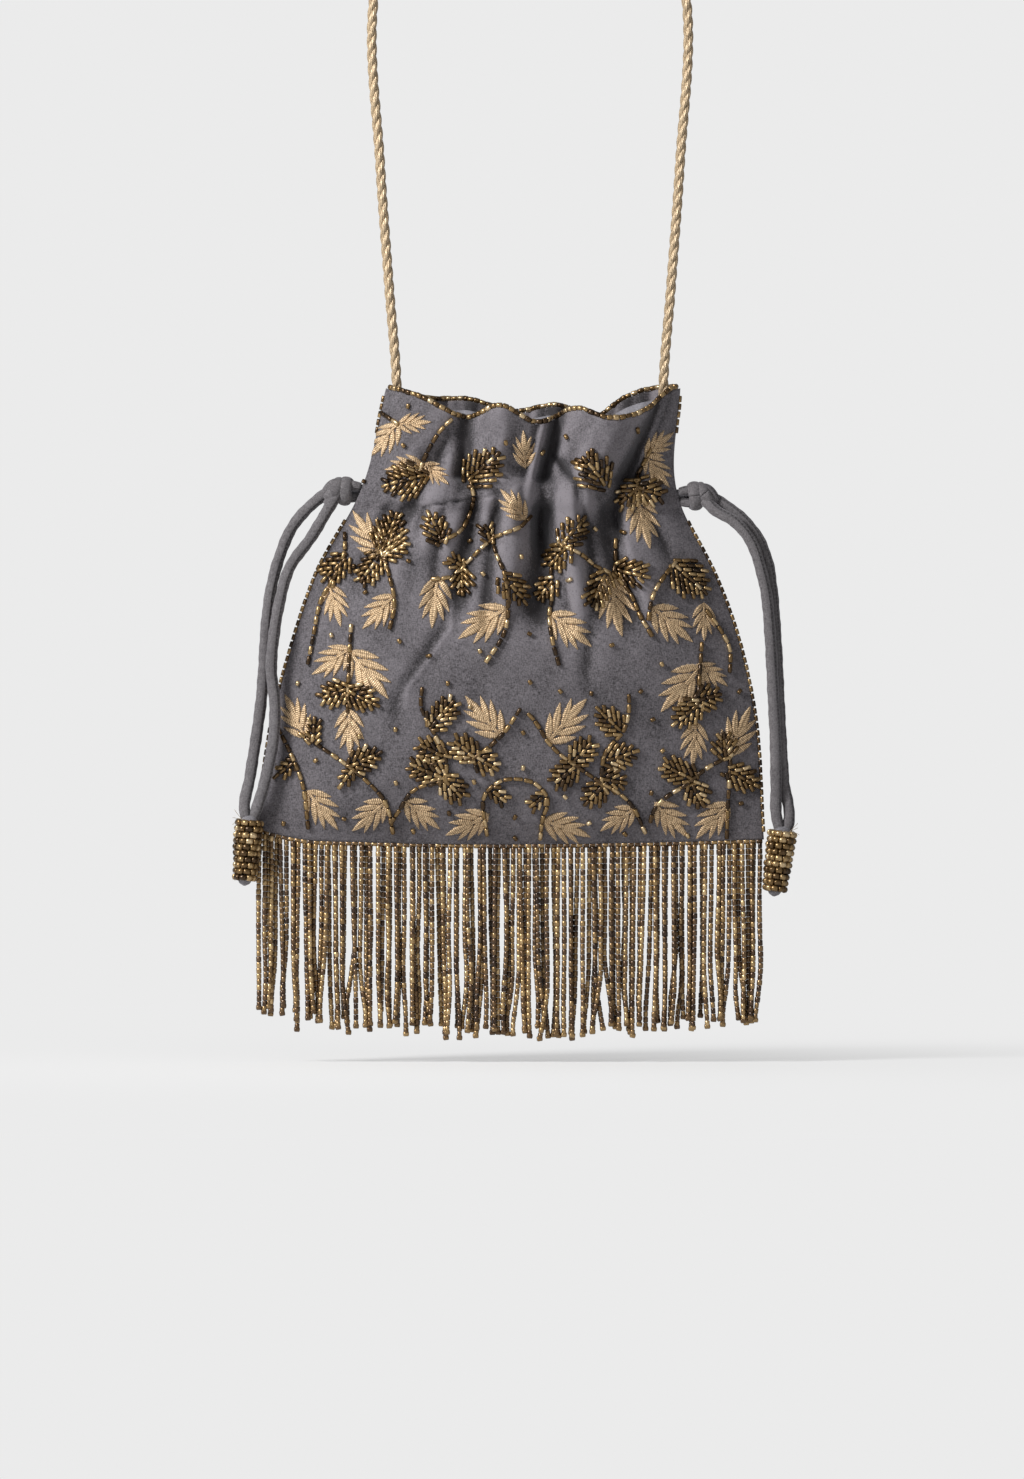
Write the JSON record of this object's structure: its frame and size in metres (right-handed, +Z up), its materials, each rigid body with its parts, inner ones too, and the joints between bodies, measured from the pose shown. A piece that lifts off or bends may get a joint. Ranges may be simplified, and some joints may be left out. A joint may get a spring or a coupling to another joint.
{
  "type": "fringe crossbody bag",
  "caption": "Drawstring crossbody pouch of dark cloth with beaded and stitched leaf embroidery, a bead fringe, knotted tie cords with beaded pulls, and a twisted rope strap.",
  "frame": {"origin": "the top of the strap's loop, where the bag hangs", "axes": "+Z up along the hanging bag, -Y out of the embroidered front, +Y through its thin side"},
  "size_m": [0.2359, 0.0475, 0.5155],
  "materials": {
    "cloth": "matt velvet-like cloth",
    "lining": "soft satin lining",
    "tube_cloth": "matt tube of cloth",
    "bronze_beads": "glossy metal-coated glass beads and gold thread",
    "fringe_beads": "glossy metal-coated glass beads",
    "gold_rope": "twisted metallic yarn"
  },
  "bodies": {
    "bag": {"front_panel": "cloth", "back_panel": "cloth", "lining": "lining", "left_casing_cord": "tube_cloth", "right_casing_cord": "tube_cloth", "front_rim_beads": "bronze_beads", "back_rim_beads": "bronze_beads", "left_seam_beads": "bronze_beads", "right_seam_beads": "bronze_beads", "fringe": "fringe_beads", "collar_leaf_pair": "bronze_beads", "collar_spray_left": "bronze_beads", "hub_spray_left": "bronze_beads", "hanging_stem": "bronze_beads", "centre_spray": "bronze_beads", "cup_spray": "bronze_beads", "scoop_leaf": "bronze_beads", "hub_spray_right": "bronze_beads", "collar_spray_right": "bronze_beads", "side_spray_right": "bronze_beads", "side_spray_left": "bronze_beads", "cross_motif_left": "bronze_beads", "cross_motif_right": "bronze_beads", "garland_left": "bronze_beads", "garland_arc_left": "bronze_beads", "garland_centre_right": "bronze_beads", "base_arch": "bronze_beads", "garland_right": "bronze_beads", "strap": "gold_rope", "left_strap_tab": "lining", "right_strap_tab": "lining"},
    "left_drawstring": {"left_knot": "tube_cloth", "left_outer_tail": "tube_cloth", "left_inner_tail": "tube_cloth", "left_pull_beads": "bronze_beads", "left_pull_core": "tube_cloth"},
    "right_drawstring": {"right_knot": "tube_cloth", "right_outer_tail": "tube_cloth", "right_inner_tail": "tube_cloth", "right_pull_beads": "bronze_beads", "right_pull_core": "tube_cloth"}
  },
  "joints": [
    {"name": "left_drawstring_pull", "type": "slide", "parent": "bag", "child": "left_drawstring", "axis": [-1, 0, 0], "range_m": [0, 0.06]},
    {"name": "right_drawstring_pull", "type": "slide", "parent": "bag", "child": "right_drawstring", "axis": [1, 0, 0], "range_m": [0, 0.06]}
  ]
}
